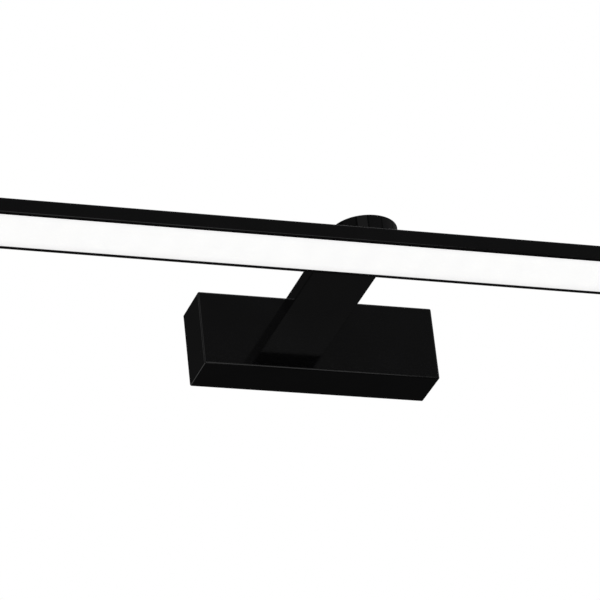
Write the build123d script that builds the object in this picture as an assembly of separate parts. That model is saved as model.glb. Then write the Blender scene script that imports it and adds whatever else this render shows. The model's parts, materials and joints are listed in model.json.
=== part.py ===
from build123d import *

import os
from math import degrees, pi

os.makedirs("parts", exist_ok=True)

# A wall-mounted LED picture light, in millimetres.
# The origin is the middle of the wall plate's back, on the wall: +X along the bar, +Y into the wall,
# +Z up. The plate and the arm stay on the wall, and the light bar swivels under the arm's round end.

# Driving dimensions
PLATE_WIDTH = 125.0
PLATE_HEIGHT = 40.5
PLATE_DEPTH = 25.0
PLATE_WALL = 1.5
PLATE_EDGE_RADIUS = 0.9
ARM_WIDTH = 33.4
ARM_THICKNESS = 7.5
ARM_TOP_DROP = 1.4  # the arm's top face is this far below the plate's top face
PIVOT_REACH = 97.5  # from the wall to the swivel's axis
BAR_LENGTH = 400.0
BAR_WIDTH = 34.8
BAR_THICKNESS = 7.7
BAR_LIP = 2.55  # the black border each side of the diffuser
SWIVEL_LIMIT = 20.0  # degrees each way
SWIVEL_GAP = 0.2  # between the arm's underside and the bar's top
FIXING_SPACING = 60.0  # between the centres of the two wall slots
INLET_RADIUS = 4.0  # the supply cable's way in, through the back

# Fits
SNUG = 0.02  # radial gap round a screw, pin or neck in its own hole
SCREW_CLEARANCE = 0.2  # radial gap where a screw passes through without gripping
RUNNING = 0.05  # radial gap round the swivel's stud
FACE_GAP = 0.03  # between two faces that turn on each other

# Heights and places that follow from them
ARM_TOP = PLATE_HEIGHT / 2 - ARM_TOP_DROP
ARM_BOTTOM = ARM_TOP - ARM_THICKNESS
ARM_MIDDLE = (ARM_TOP + ARM_BOTTOM) / 2
BAR_TOP = ARM_BOTTOM - SWIVEL_GAP
BAR_BOTTOM = BAR_TOP - BAR_THICKNESS
PIVOT_Y = -PIVOT_REACH
COVER_FRONT = -PLATE_DEPTH
COVER_INSIDE = COVER_FRONT + PLATE_WALL
COVER_CEILING = PLATE_HEIGHT / 2 - PLATE_WALL

# Wall bracket
BRACKET_WIDTH = 118.0
BRACKET_HEIGHT = 34.6
BRACKET_SHEET = 1.5
BRACKET_FRONT = -BRACKET_SHEET
TAB_WIDTH = 14.0
TAB_REACH = 13.0
TAB_GAP = 0.1  # between a tab and the cover's inner face
TOP_TAB_X = 48.0
BOTTOM_TAB_X = 40.0
SLOT_LENGTH = 12.0
SLOT_WIDTH = 4.5
COVER_SCREW_Y = -8.0
BEND_RADIUS = 1.35  # outside a tab's bend

# Supply grommet
GROMMET_NECK = 2 * INLET_RADIUS
GROMMET_FLANGE = 10.0
GROMMET_COLLAR = 6.0
GROMMET_FLANGE_FRONT = BRACKET_FRONT - 2.0
GROMMET_FRONT = BRACKET_FRONT - 4.5

# Arm
ARM_SIDE = 1.8
ARM_FLOOR = 1.5
ARM_EDGE_RADIUS = 0.4
ARM_RIM = 0.9  # the tray's rim round the lid
LID_THICKNESS = 1.0
LID_FIT = 0.1
LID_BOTTOM = ARM_TOP - LID_THICKNESS
ROOT_BLOCK = 10.5  # the solid end of the arm, against the cover
ROOT_SCREW_X = 11.0
BACKING_HALF_WIDTH = 16.0
BACKING_BOTTOM = 11.0
BACKING_BACK = COVER_INSIDE + 2.0
LEAD_PASSAGE = 2.4  # radius of the leads' way through the solid end
LEAD_BUSH = 3.0  # radius of the bush in the cover's front
LEAD_BUSH_FLANGE = 3.4
LEAD_BUSH_BORE = 2.0
LEAD_BUSH_BACK = BACKING_BACK + 1.0
BOSS_RADIUS = 2.4
BOSS_FLOOR = 1.0  # left solid under each screw hole
LID_SCREWS = [(x, y) for x in (-12.6, 12.6) for y in (-41.0, -83.0)]

# Swivel
STUD_RADIUS = 4.0
STUD_BORE = 2.5
STUD_FLANGE_RADIUS = 8.0
STUD_FLANGE = 1.2
STUD_ABOVE_NUT = 0.27
RECESS_DEPTH = 0.5  # the seat for the friction washer in the arm's underside
FRICTION_WASHER_RADIUS = 7.5
THRUST_WASHER = 0.5
THRUST_WASHER_RADIUS = 7.0
SPRING_RADIUS = 6.5
SPRING_SHEET = 0.4
SPRING_HEIGHT = 0.7
NUT_FLATS = 11.0
NUT_HEIGHT = 2.0
STOP_RADIUS = 11.5  # from the axis to the stop pin
STOP_PIN_RADIUS = 1.0
STOP_PIN_TOP = ARM_BOTTOM + 1.1
STOP_SLOT_HALF_WIDTH = 1.15
STOP_TOUCH = 0.05  # what is left between the pin and the slot's end at the limit

ARM_FLOOR_TOP = ARM_BOTTOM + ARM_FLOOR
SPRING_BOTTOM = ARM_FLOOR_TOP + THRUST_WASHER + FACE_GAP
NUT_BOTTOM = SPRING_BOTTOM + SPRING_HEIGHT
STUD_TOP = NUT_BOTTOM + NUT_HEIGHT + STUD_ABOVE_NUT

# Light bar
CAP_THICKNESS = 2.0
HOUSING_LENGTH = BAR_LENGTH - 2 * CAP_THICKNESS
BAR_SIDE = 1.2
BAR_WEB = 1.5
BAR_EDGE_RADIUS = 0.5
LIP_THICKNESS = 0.9
RAIL_WIDTH = 0.9
RAIL_BOTTOM = BAR_BOTTOM + 2.15
RAIL_THICKNESS = 0.6
WEB_BOTTOM = BAR_TOP - BAR_WEB
PORT_RADIUS = 1.9
PORT_HOLE = 0.85
PORT_INSET = 1.6  # from the inside of the web and of the side to a port's middle
PORT_Y = BAR_WIDTH / 2 - BAR_SIDE - PORT_INSET
PORT_Z = WEB_BOTTOM - PORT_INSET
THERMAL_TAPE = 0.2
BOARD_THICKNESS = 1.0
BOARD_LENGTH = 390.0
BOARD_WIDTH = 24.0
BOARD_HOLE = 8.5
BOARD_TOP = WEB_BOTTOM - THERMAL_TAPE
BOARD_BOTTOM = BOARD_TOP - BOARD_THICKNESS
CHIP_SIZE = (3.5, 2.8, 0.7)
CHIP_PITCH = 16.0
CHIPS_PER_ROW = 24
CHIP_ROW_Y = 8.0
DIFFUSER_GAP = 0.1
DIFFUSER_FACE = 0.9
DIFFUSER_FLANGE = 1.0
CAP_TONGUE = 2.0
CAP_TONGUE_HALF_WIDTH = 12.0
CAP_EDGE_RADIUS = 0.4

# Screws: radius of the thread, radius of the head, height of the head
M2 = (1.0, 1.8, 1.0)
M3 = (1.5, 2.75, 1.7)
CAP_SCREW = (PORT_HOLE - SNUG, 1.75, 0.9)
CAP_SCREW_LENGTH = 8.0
LID_SCREW_LENGTH = 4.0
ROOT_SCREW_LENGTH = 12.0
COVER_SCREW_LENGTH = 3.8
SOCKET_RADIUS = 0.45  # of the head's radius
SOCKET_DEPTH = 0.5  # of the head's height
SLOT_HEAD_LENGTH = 1.3  # of the head's radius
SLOT_HEAD_WIDTH = 0.3  # of the head's radius
SLOT_HEAD_DEPTH = 0.35  # of the head's height

# Terminal block, with its three poles one above the other
TERMINAL_X = (-59.0, -43.0)
TERMINAL_Z = (-12.0, 12.0)
TERMINAL_FRONT = -14.5
POLE_PITCH = 8.0
POLES = (-POLE_PITCH, 0.0, POLE_PITCH)
POLE_Y = -8.0
INSERT_RADIUS = 2.5
INSERT_BORE = 1.6
CLAMP_SCREWS_X = (-54.5, -47.5)
CLAMP_SCREW_RADIUS = 1.25
CLAMP_HEAD_RADIUS = 1.8
CLAMP_HEAD_Y = (-13.5, -12.0)
CLAMP_SLOT_DEPTH = 0.7
CLAMP_SLOT_WIDTH = 0.5
BARRIER_GROOVE = 1.2
BARRIER_GROOVE_BACK = -12.0
TERMINAL_WAIST = 8.0  # the middle stretch that the grooves leave whole
TERMINAL_X_MIDDLE = sum(TERMINAL_X) / 2
FIXING_HOLE_Z = POLE_PITCH / 2
FIXING_SEAT_Y = TERMINAL_FRONT + 2.5

# Earth stud
EARTH = (-22.0, 12.0)  # x, z
EARTH_RADIUS = 2.0
EARTH_COLLAR = 2.8
EARTH_LENGTH = 8.5
EARTH_NUT_FLATS = 7.0
EARTH_NUT_HEIGHT = 3.0
WASHER_SHEET = 0.5
WASHER_NOTCHES = 12
WASHER_NOTCH_RADIUS = 0.55
RING_SHEET = 0.8
RING_RADIUS = 4.0
RING_NECK_WIDTH = 3.2
RING_NECK_OVERLAP = 0.4
BARREL_RADIUS = 1.9
BARREL_X = (-31.5, -26.6)
RING_BACK = BRACKET_FRONT - WASHER_SHEET
RING_FRONT = RING_BACK - RING_SHEET
BARREL_Y = RING_BACK - BARREL_RADIUS

# LED driver, stuck inside the cover's front
DRIVER_X = (-14.0, 56.0)
DRIVER_Z = (-15.8, 10.2)
DRIVER_BACK = -7.5
DRIVER_PAD = 1.0
DRIVER_FRONT = COVER_INSIDE + DRIVER_PAD
DRIVER_WALL = 1.2
DRIVER_LID_Y = DRIVER_BACK - DRIVER_WALL
DRIVER_EDGE_RADIUS = 1.0
LID_EDGE_RADIUS = 0.5
LID_RIM = 1.0
LID_RIM_DEPTH = 0.6
LID_RIM_GAP = 0.1
PAD_INSET = (4.0, 3.0)  # along X and Z, from the driver's edges
BOARD_INSET = (2.0, 1.6)
FOOT_INSET = (5.0, 4.0)
FOOT_RADIUS = 1.5
CIRCUIT_BOARD_Y = (-20.3, -18.7)
BOARD_FACE = CIRCUIT_BOARD_Y[1]  # the side with the parts on it
TRANSFORMER_X = (14.0, 28.0)
TRANSFORMER_BOTTOM = -9.5
TRANSFORMER_DEPTH = 9.2
CORE_YOKE = 2.5
CORE_LEG = 2.0
CORE_MIDDLE_LEG = 4.0
CORE_WINDOW = 3.0
WINDING_GAP = 0.1
WINDING_Y = (BOARD_FACE + 0.8, BOARD_FACE + 8.4)
CAPACITORS = ((34.0, 4.0, 3.2, 11.0), (34.0, -8.0, 4.0, 13.0))  # x, z, radius, length
CAPACITOR_LIFT = 0.1
CAPACITOR_EDGE_RADIUS = 0.5
CHOKE = (6.0, -8.0)  # x, z
CHOKE_WAIST = 2.6
CHOKE_FLANGE = 4.0
CHOKE_FLANGE_SHEET = 1.4
CHOKE_HEIGHT = 8.0
FUSE_X = (-2.0, 8.0)
FUSE_Z = 5.5
FUSE_RADIUS = 1.6
FUSE_LIFT = 0.2

# Wires
LEAD_RADIUS = 0.65  # low voltage, from the driver to the bar
LEAD_SPREAD = 0.75  # each low-voltage lead's distance from the arm's middle
LEAD_TOP = LID_BOTTOM - LEAD_RADIUS - 0.05  # under the arm's lid
LEAD_LOW = BOARD_BOTTOM - LEAD_RADIUS - 0.15  # under the LED board
LEAD_Y = -11.5  # half way between the two leads where they run along the plate
LEAD_Y_SPREAD = 1.5
LEAD_BOARD_X = 50.5
LEAD_BOARD_Z = 3.0
LEAD_TURN_X = 59.5
LEAD_RISE_Y = (-42.0, -60.0)  # where the leads climb to the underside of the arm's lid
LEAD_SPLIT = BAR_TOP + SWIVEL_GAP / 2
BAR_LEAD_END = 10.0
MAINS_RADIUS = 1.2
MAINS_START_X = CLAMP_SCREWS_X[1] - 1.5
MAINS_Y = -13.0
MAINS_BOARD_X = -10.0
MAINS_POLE_Z = {"live": -POLE_PITCH, "neutral": 0.0}
MAINS_BOARD_Z = {"live": -10.0, "neutral": -4.0}
LEAD_HOLE_GAP = 0.1
SOLDER_SIZE = (2.6, 2.2, 1.2)
SOLDER_EDGE_RADIUS = 0.5


STANDING = (Align.CENTER, Align.CENTER, Align.MIN)


def block(x_span, y_span, z_span):
    """A rectangular block, given by its span along each axis."""
    spans = (x_span, y_span, z_span)
    middle = [(low + high) / 2 for low, high in spans]
    size = [high - low for low, high in spans]
    return Pos(*middle) * Box(*size)


def rod(radius, start, end):
    """A round bar from one point to another."""
    run = Vector(*end) - Vector(*start)
    place = Plane(origin=start, z_dir=run).location
    return place * Cylinder(radius, run.length, align=STANDING)


def rod_x(radius, y, z, x_span):
    return rod(radius, (x_span[0], y, z), (x_span[1], y, z))


def rod_y(radius, x, z, y_span):
    return rod(radius, (x, y_span[0], z), (x, y_span[1], z))


def rod_z(radius, x, y, z_span):
    return rod(radius, (x, y, z_span[0]), (x, y, z_span[1]))


def group(pieces):
    """Separate solids that share one node."""
    return Compound([solid for piece in pieces for solid in piece.solids()])


def pan_screw(kind, head_face, direction, length):
    """A screw with a rounded head. The head's flat underside is at head_face, and the thread goes
    the way of direction."""
    thread_radius, head_radius, head_height = kind
    along = Vector(*direction)
    start = Vector(*head_face)
    head = rod(head_radius, start, start - along * head_height)
    crown = head.edges().sort_by(Axis(start, along))[0]
    head = fillet(crown, head_height / 2)
    crown_top = start - along * head_height
    socket = rod(head_radius * SOCKET_RADIUS, crown_top, crown_top + along * head_height * SOCKET_DEPTH)
    return head + rod(thread_radius, start, start + along * length) - socket


def flat_screw(kind, head_top, direction, length):
    """A countersunk screw. The head's flat top is at head_top, and the thread goes the way of direction."""
    thread_radius, head_radius, head_height = kind
    along = Vector(*direction)
    start = Vector(*head_top)
    place = Plane(origin=start, z_dir=along).location
    head = place * Cone(head_radius, thread_radius, head_height, align=STANDING)
    slot_size = (head_radius * SLOT_HEAD_LENGTH, head_radius * SLOT_HEAD_WIDTH, head_height * SLOT_HEAD_DEPTH)
    slot = place * Box(*slot_size, align=STANDING)
    return head + rod(thread_radius, start + along * head_height, start + along * length) - slot


def countersink(kind, head_top, direction, depth):
    """The hole that a countersunk screw sits in."""
    thread_radius, head_radius, head_height = kind
    along = Vector(*direction)
    start = Vector(*head_top)
    place = Plane(origin=start, z_dir=along).location
    seat = place * Cone(head_radius + SNUG, thread_radius + SNUG, head_height, align=STANDING)
    return seat + rod(thread_radius + SNUG, start, start + along * depth)


def lead(name, points, radii, radius):
    """A wire along straight runs joined by tangent arcs."""
    path = FilletPolyline(*points, radius=radii)
    section = Plane(origin=path @ 0, z_dir=path % 0) * Circle(radius)
    wire = sweep(section, path=path)
    expected = pi * radius**2 * path.length
    print(f"{name}: radii {radii}, length {path.length:.1f}, volume {wire.volume:.2f} of {expected:.2f}")
    return wire


def arm_outline(inset, root_y):
    """The arm seen from above: a straight strip that ends in a half circle round the swivel's axis."""
    half_width = ARM_WIDTH / 2 - inset
    strip = Pos(0, (root_y + PIVOT_Y) / 2) * Rectangle(2 * half_width, root_y - PIVOT_Y)
    return strip + Pos(0, PIVOT_Y) * Circle(half_width)


def arm_slab(inset, root_y, z_span):
    return Pos(0, 0, z_span[0]) * extrude(arm_outline(inset, root_y), z_span[1] - z_span[0])


# Wall plate


def backplate_cover():
    """The steel box that hides the wall fixing and the driver. It is open at the back."""
    half_width = PLATE_WIDTH / 2
    half_height = PLATE_HEIGHT / 2
    box = block((-half_width, half_width), (COVER_FRONT, 0), (-half_height, half_height))
    front_edges = box.faces().sort_by(Axis.Y)[0].edges()
    box = fillet(front_edges + box.edges().filter_by(Axis.Y), PLATE_EDGE_RADIUS)
    half_inside = half_width - PLATE_WALL
    box -= block((-half_inside, half_inside), (COVER_INSIDE, 0), (-COVER_CEILING, COVER_CEILING))
    for x in (-ROOT_SCREW_X, ROOT_SCREW_X):
        box -= rod_y(M3[0] + SCREW_CLEARANCE, x, ARM_MIDDLE, (COVER_FRONT, COVER_INSIDE))
    box -= rod_y(LEAD_BUSH + SNUG, 0, ARM_MIDDLE, (COVER_FRONT, COVER_INSIDE))
    for x in (-TOP_TAB_X, TOP_TAB_X):
        box -= rod_z(M3[0] + SCREW_CLEARANCE, x, COVER_SCREW_Y, (COVER_CEILING, half_height))
    return box


def wall_bracket():
    """The steel strip on the wall, with tabs above for the cover's screws and tabs below to locate it."""
    half_width = BRACKET_WIDTH / 2
    half_height = BRACKET_HEIGHT / 2
    tab_end = COVER_CEILING - TAB_GAP
    tab_start = tab_end - BRACKET_SHEET
    strip = block((-half_width, half_width), (BRACKET_FRONT, 0), (-half_height, half_height))
    for centre, side in ((TOP_TAB_X, 1), (BOTTOM_TAB_X, -1)):
        for x in (-centre, centre):
            x_span = (x - TAB_WIDTH / 2, x + TAB_WIDTH / 2)
            z_span = sorted((side * tab_start, side * tab_end))
            tab = block(x_span, (-TAB_REACH, 0), z_span)
            wall_edges = tab.edges().filter_by(Axis.X).group_by(Axis.Y)[-1]
            bend = wall_edges.sort_by(Axis.Z)[-1 if side > 0 else 0]
            strip += fillet(bend, BEND_RADIUS)
    for x in (-TOP_TAB_X, TOP_TAB_X):
        strip -= rod_z(M3[0] + SNUG, x, COVER_SCREW_Y, (tab_start, tab_end))
    for x in (-FIXING_SPACING / 2, FIXING_SPACING / 2):
        strip -= extrude(Plane.XZ * Pos(x, 0) * SlotOverall(SLOT_LENGTH, SLOT_WIDTH), BRACKET_SHEET)
    strip -= rod_y(GROMMET_NECK + SNUG, 0, 0, (BRACKET_FRONT, 0))
    strip -= rod_y(EARTH_COLLAR + SNUG, *EARTH, (BRACKET_FRONT, 0))
    return strip - rod_y(M3[0] + SNUG, TERMINAL_X_MIDDLE, FIXING_HOLE_Z, (BRACKET_FRONT, 0))


def cable_grommet():
    """The rubber bush that the supply cable comes in through."""
    neck = rod_y(GROMMET_NECK, 0, 0, (BRACKET_FRONT, 0))
    flange = rod_y(GROMMET_FLANGE, 0, 0, (GROMMET_FLANGE_FRONT, BRACKET_FRONT))
    collar = rod_y(GROMMET_COLLAR, 0, 0, (GROMMET_FRONT, GROMMET_FLANGE_FRONT))
    return neck + flange + collar - rod_y(INLET_RADIUS, 0, 0, (GROMMET_FRONT, 0))


def cover_screws():
    """Two screws down through the cover's top into the bracket's tabs."""
    top = PLATE_HEIGHT / 2
    places = [(x, COVER_SCREW_Y, top) for x in (-TOP_TAB_X, TOP_TAB_X)]
    return group(pan_screw(M3, place, (0, 0, -1), COVER_SCREW_LENGTH) for place in places)


def terminal_block():
    """The three-pole screw terminal body, with barriers between its poles."""
    body = block(TERMINAL_X, (TERMINAL_FRONT, BRACKET_FRONT), TERMINAL_Z)
    left = (TERMINAL_X[0], TERMINAL_X_MIDDLE - TERMINAL_WAIST / 2)
    right = (TERMINAL_X_MIDDLE + TERMINAL_WAIST / 2, TERMINAL_X[1])
    for z in (-POLE_PITCH / 2, POLE_PITCH / 2):
        for x_span in (left, right):
            z_span = (z - BARRIER_GROOVE / 2, z + BARRIER_GROOVE / 2)
            body -= block(x_span, (TERMINAL_FRONT, BARRIER_GROOVE_BACK), z_span)
    for z in POLES:
        body -= rod_x(INSERT_RADIUS + SNUG, POLE_Y, z, TERMINAL_X)
        for x in CLAMP_SCREWS_X:
            body -= rod_y(CLAMP_HEAD_RADIUS + SCREW_CLEARANCE, x, z, (TERMINAL_FRONT, POLE_Y))
    body -= rod_y(M3[0] + SNUG, TERMINAL_X_MIDDLE, FIXING_HOLE_Z, (TERMINAL_FRONT, BRACKET_FRONT))
    head_room = M3[1] + SCREW_CLEARANCE
    return body - rod_y(head_room, TERMINAL_X_MIDDLE, FIXING_HOLE_Z, (TERMINAL_FRONT, FIXING_SEAT_Y))


def terminal_inserts():
    """One brass clamp tube in each pole."""
    inserts = []
    for z in POLES:
        tube = rod_x(INSERT_RADIUS, POLE_Y, z, (TERMINAL_X[0] + 1, TERMINAL_X[1] - 1))
        tube -= rod_x(INSERT_BORE, POLE_Y, z, TERMINAL_X)
        for x in CLAMP_SCREWS_X:
            tube -= rod_y(CLAMP_SCREW_RADIUS + SNUG, x, z, (TERMINAL_FRONT, POLE_Y))
        inserts.append(tube)
    return group(inserts)


def terminal_screws():
    """Two clamp screws in each pole, down to the wire."""
    screws = []
    for z in POLES:
        for x in CLAMP_SCREWS_X:
            top = CLAMP_HEAD_Y[0]
            thread = rod_y(CLAMP_SCREW_RADIUS, x, z, (top, POLE_Y - MAINS_RADIUS - SNUG))
            head = rod_y(CLAMP_HEAD_RADIUS, x, z, CLAMP_HEAD_Y)
            slot_x = (x - CLAMP_HEAD_RADIUS, x + CLAMP_HEAD_RADIUS)
            slot_z = (z - CLAMP_SLOT_WIDTH / 2, z + CLAMP_SLOT_WIDTH / 2)
            screws.append(thread + head - block(slot_x, (top, top + CLAMP_SLOT_DEPTH), slot_z))
    return group(screws)


def terminal_fixing_screw():
    """The screw that holds the terminal block to the bracket."""
    place = (TERMINAL_X_MIDDLE, FIXING_SEAT_Y, FIXING_HOLE_Z)
    return pan_screw(M3, place, (0, 1, 0), -FIXING_SEAT_Y)


def earth_stud():
    """The stud pressed into the bracket."""
    stud = rod_y(EARTH_RADIUS, *EARTH, (-EARTH_LENGTH, BRACKET_FRONT))
    return stud + rod_y(EARTH_COLLAR, *EARTH, (BRACKET_FRONT, 0))


def earth_washer():
    """A toothed washer under the ring terminal."""
    y_span = (RING_BACK, BRACKET_FRONT)
    washer = rod_y(RING_RADIUS, *EARTH, y_span)
    for notch in PolarLocations(RING_RADIUS, WASHER_NOTCHES):
        x = EARTH[0] + notch.position.X
        z = EARTH[1] + notch.position.Y
        washer -= rod_y(WASHER_NOTCH_RADIUS, x, z, y_span)
    return washer - rod_y(EARTH_RADIUS + SNUG, *EARTH, y_span)


def earth_ring_terminal():
    """The crimped ring on the earth lead."""
    x, z = EARTH
    sheet = (RING_FRONT, RING_BACK)
    terminal = rod_y(RING_RADIUS, x, z, sheet)
    neck_x = (BARREL_X[1] - RING_NECK_OVERLAP, x)
    terminal += block(neck_x, sheet, (z - RING_NECK_WIDTH / 2, z + RING_NECK_WIDTH / 2))
    terminal += rod_x(BARREL_RADIUS, BARREL_Y, z, BARREL_X)
    terminal -= rod_y(EARTH_RADIUS + SNUG, x, z, sheet)
    return terminal - rod_x(MAINS_RADIUS + SNUG, BARREL_Y, z, BARREL_X)


def earth_nut():
    """The hexagon nut on the earth stud."""
    outline = Pos(*EARTH) * RegularPolygon(EARTH_NUT_FLATS / 2, 6, major_radius=False)
    nut = Pos(0, RING_FRONT, 0) * extrude(Plane.XZ * outline, EARTH_NUT_HEIGHT)
    return nut - rod_y(EARTH_RADIUS + SNUG, *EARTH, (RING_FRONT - EARTH_NUT_HEIGHT, RING_FRONT))


# LED driver


def driver_block(inset, y_span):
    """A block as wide and high as the driver, less an inset along X and one along Z."""
    x_span = (DRIVER_X[0] + inset[0], DRIVER_X[1] - inset[0])
    z_span = (DRIVER_Z[0] + inset[1], DRIVER_Z[1] - inset[1])
    return block(x_span, y_span, z_span)


def driver_pad():
    """The double-sided foam pad between the driver and the cover."""
    return driver_block(PAD_INSET, (COVER_INSIDE, DRIVER_FRONT))


def driver_case():
    """The driver's plastic tray, open towards the wall."""
    case = driver_block((0, 0), (DRIVER_FRONT, DRIVER_LID_Y))
    front_edges = case.faces().sort_by(Axis.Y)[0].edges()
    case = fillet(front_edges + case.edges().filter_by(Axis.Y), DRIVER_EDGE_RADIUS)
    case -= driver_block((DRIVER_WALL, DRIVER_WALL), (DRIVER_FRONT + DRIVER_WALL, DRIVER_LID_Y))
    for z in MAINS_BOARD_Z.values():
        case -= rod_x(MAINS_RADIUS + LEAD_HOLE_GAP, MAINS_Y, z, (DRIVER_X[0], DRIVER_X[0] + DRIVER_WALL))
    for y in (LEAD_Y - LEAD_Y_SPREAD, LEAD_Y + LEAD_Y_SPREAD):
        case -= rod_x(LEAD_RADIUS + LEAD_HOLE_GAP, y, LEAD_BOARD_Z, (DRIVER_X[1] - DRIVER_WALL, DRIVER_X[1]))
    return case


def driver_lid():
    """The lid that snaps into the driver's tray."""
    lid = driver_block((0, 0), (DRIVER_LID_Y, DRIVER_BACK))
    lid = fillet(lid.faces().sort_by(Axis.Y)[-1].edges(), LID_EDGE_RADIUS)
    rim_inset = DRIVER_WALL + LID_RIM_GAP
    hollow_inset = rim_inset + LID_RIM
    rim_y = (DRIVER_LID_Y - LID_RIM_DEPTH, DRIVER_LID_Y)
    rim = driver_block((rim_inset, rim_inset), rim_y)
    return lid + rim - driver_block((hollow_inset, hollow_inset), rim_y)


def driver_board():
    """The driver's circuit board."""
    return driver_block(BOARD_INSET, CIRCUIT_BOARD_Y)


def driver_board_feet():
    """Four pads in the tray that the circuit board rests on."""
    feet = []
    for x in (DRIVER_X[0] + FOOT_INSET[0], DRIVER_X[1] - FOOT_INSET[0]):
        for z in (DRIVER_Z[0] + FOOT_INSET[1], DRIVER_Z[1] - FOOT_INSET[1]):
            feet.append(rod_y(FOOT_RADIUS, x, z, (DRIVER_FRONT + DRIVER_WALL, CIRCUIT_BOARD_Y[0])))
    return group(feet)


def core_windows():
    """The spans along Z of the two windows in the transformer's core."""
    first = TRANSFORMER_BOTTOM + CORE_LEG
    second = first + CORE_WINDOW + CORE_MIDDLE_LEG
    return [(first, first + CORE_WINDOW), (second, second + CORE_WINDOW)]


def driver_transformer():
    """The transformer's ferrite core, with a window each side of its middle leg."""
    y_span = (BOARD_FACE, BOARD_FACE + TRANSFORMER_DEPTH)
    top = core_windows()[1][1] + CORE_LEG
    core = block(TRANSFORMER_X, y_span, (TRANSFORMER_BOTTOM, top))
    window_x = (TRANSFORMER_X[0] + CORE_YOKE, TRANSFORMER_X[1] - CORE_YOKE)
    for window_z in core_windows():
        core -= block(window_x, y_span, window_z)
    return core


def driver_winding():
    """The copper winding, where it fills the core's two windows."""
    x_span = (TRANSFORMER_X[0] + CORE_YOKE + WINDING_GAP, TRANSFORMER_X[1] - CORE_YOKE - WINDING_GAP)
    spans = [(low + WINDING_GAP, high - WINDING_GAP) for low, high in core_windows()]
    return group(block(x_span, WINDING_Y, z_span) for z_span in spans)


def driver_capacitors():
    """Two electrolytic capacitors lying on the board."""
    cans = []
    for x, z, radius, length in CAPACITORS:
        can = rod_x(radius, BOARD_FACE + CAPACITOR_LIFT + radius, z, (x, x + length))
        cans.append(fillet(can.edges().filter_by(GeomType.CIRCLE), CAPACITOR_EDGE_RADIUS))
    return group(cans)


def driver_choke():
    """The drum-core choke that filters the mains side."""
    top = BOARD_FACE + CHOKE_HEIGHT
    drum = rod_y(CHOKE_WAIST, *CHOKE, (BOARD_FACE, top))
    drum += rod_y(CHOKE_FLANGE, *CHOKE, (BOARD_FACE, BOARD_FACE + CHOKE_FLANGE_SHEET))
    return drum + rod_y(CHOKE_FLANGE, *CHOKE, (top - CHOKE_FLANGE_SHEET, top))


def driver_fuse():
    """The mains fuse beside the choke."""
    return rod_x(FUSE_RADIUS, BOARD_FACE + FUSE_LIFT + FUSE_RADIUS, FUSE_Z, FUSE_X)


# Arm


def arm_backing_plate():
    """The stiffening plate inside the cover behind the arm."""
    sheet = (COVER_INSIDE, BACKING_BACK)
    plate = block((-BACKING_HALF_WIDTH, BACKING_HALF_WIDTH), sheet, (BACKING_BOTTOM, COVER_CEILING - TAB_GAP))
    for x in (-ROOT_SCREW_X, ROOT_SCREW_X):
        plate -= rod_y(M3[0] + SCREW_CLEARANCE, x, ARM_MIDDLE, sheet)
    return plate - rod_y(LEAD_BUSH + SNUG, 0, ARM_MIDDLE, sheet)


def arm_root_screws():
    """Two screws from inside the cover into the arm's solid end."""
    places = [(x, BACKING_BACK, ARM_MIDDLE) for x in (-ROOT_SCREW_X, ROOT_SCREW_X)]
    return group(pan_screw(M3, place, (0, -1, 0), ROOT_SCREW_LENGTH) for place in places)


def arm_grommet():
    """The bush that keeps the low-voltage leads off the cover's edge."""
    neck = rod_y(LEAD_BUSH, 0, ARM_MIDDLE, (COVER_FRONT, BACKING_BACK))
    flange = rod_y(LEAD_BUSH_FLANGE, 0, ARM_MIDDLE, (BACKING_BACK, LEAD_BUSH_BACK))
    return neck + flange - rod_y(LEAD_BUSH_BORE, 0, ARM_MIDDLE, (COVER_FRONT, LEAD_BUSH_BACK))


def stop_slot():
    """The arc slot in the arm's floor that the stop pin runs in."""
    play = STOP_SLOT_HALF_WIDTH - STOP_PIN_RADIUS - STOP_TOUCH
    half_angle = SWIVEL_LIMIT - degrees(play / STOP_RADIUS)
    middle = CenterArc((0, PIVOT_Y), STOP_RADIUS, 270 - half_angle, 2 * half_angle)
    return Pos(0, 0, ARM_BOTTOM) * extrude(SlotArc(middle, 2 * STOP_SLOT_HALF_WIDTH), ARM_FLOOR)


def arm_body():
    """The arm: a shallow tray with a round end and a solid block where it meets the cover."""
    tray = arm_slab(0, COVER_FRONT, (ARM_BOTTOM, ARM_TOP))
    rims = tray.edges().group_by(Axis.Z)[0] + tray.edges().group_by(Axis.Z)[-1]
    tray = fillet([edge for edge in rims if edge.center().Y < COVER_FRONT - 0.1], ARM_EDGE_RADIUS)
    tray -= arm_slab(ARM_SIDE, COVER_FRONT - ROOT_BLOCK, (ARM_FLOOR_TOP, ARM_TOP))
    tray -= arm_slab(ARM_RIM, COVER_FRONT - ARM_RIM, (LID_BOTTOM, ARM_TOP))
    for x, y in LID_SCREWS:
        tray += rod_z(BOSS_RADIUS, x, y, (ARM_FLOOR_TOP, LID_BOTTOM))
        tray -= rod_z(M2[0] + SNUG, x, y, (ARM_FLOOR_TOP + BOSS_FLOOR, LID_BOTTOM))
    root_end = COVER_FRONT - ROOT_BLOCK
    for x in (-ROOT_SCREW_X, ROOT_SCREW_X):
        tray -= rod_y(M3[0] + SNUG, x, ARM_MIDDLE, (root_end + BOSS_FLOOR, COVER_FRONT))
    tray -= rod_y(LEAD_PASSAGE, 0, ARM_MIDDLE, (root_end, COVER_FRONT))
    tray -= rod_z(FRICTION_WASHER_RADIUS + RUNNING, 0, PIVOT_Y, (ARM_BOTTOM, ARM_BOTTOM + RECESS_DEPTH))
    tray -= rod_z(STUD_RADIUS + RUNNING, 0, PIVOT_Y, (ARM_BOTTOM, ARM_FLOOR_TOP))
    return tray - stop_slot()


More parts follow.
